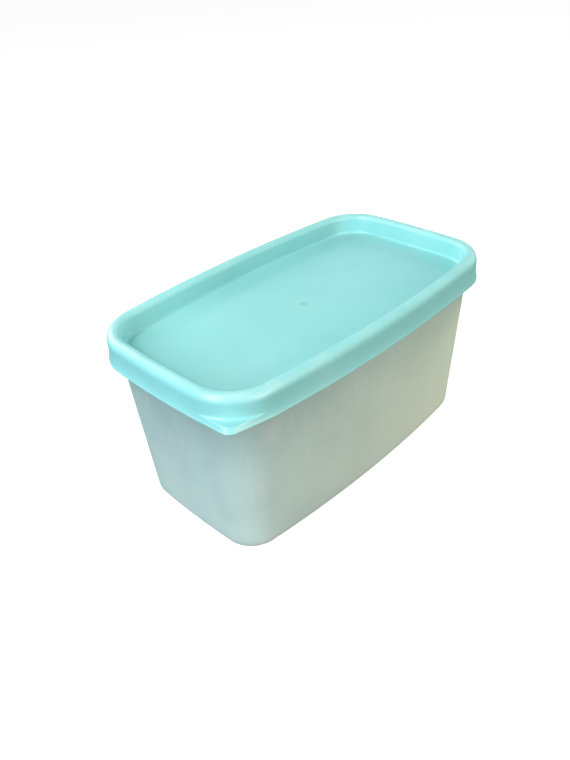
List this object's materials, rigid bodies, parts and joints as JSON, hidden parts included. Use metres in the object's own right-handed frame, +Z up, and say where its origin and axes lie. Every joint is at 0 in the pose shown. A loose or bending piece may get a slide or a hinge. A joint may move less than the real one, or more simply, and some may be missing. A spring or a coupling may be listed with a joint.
{
  "type": "freezer container",
  "caption": "Shut rectangular freezer container: frosted tub with swelling sides, and a press-on lid with a beaded rim, a sunken panel for stacking and a lifting tab at one corner.",
  "frame": {"origin": "on the floor, under the middle of the container", "axes": "+X along the length, +Y towards the back long side, +Z up; the lid's lifting tab is at the corner towards -X and -Y"},
  "size_m": [0.2, 0.115, 0.102],
  "materials": {
    "frosted_plastic": "milky, frosted, lets light through but can't be seen through",
    "aqua_plastic": "opaque moulded aqua plastic with a satin sheen"
  },
  "bodies": {
    "root": {"tub": "frosted_plastic", "lid": "aqua_plastic"}
  },
  "joints": []
}
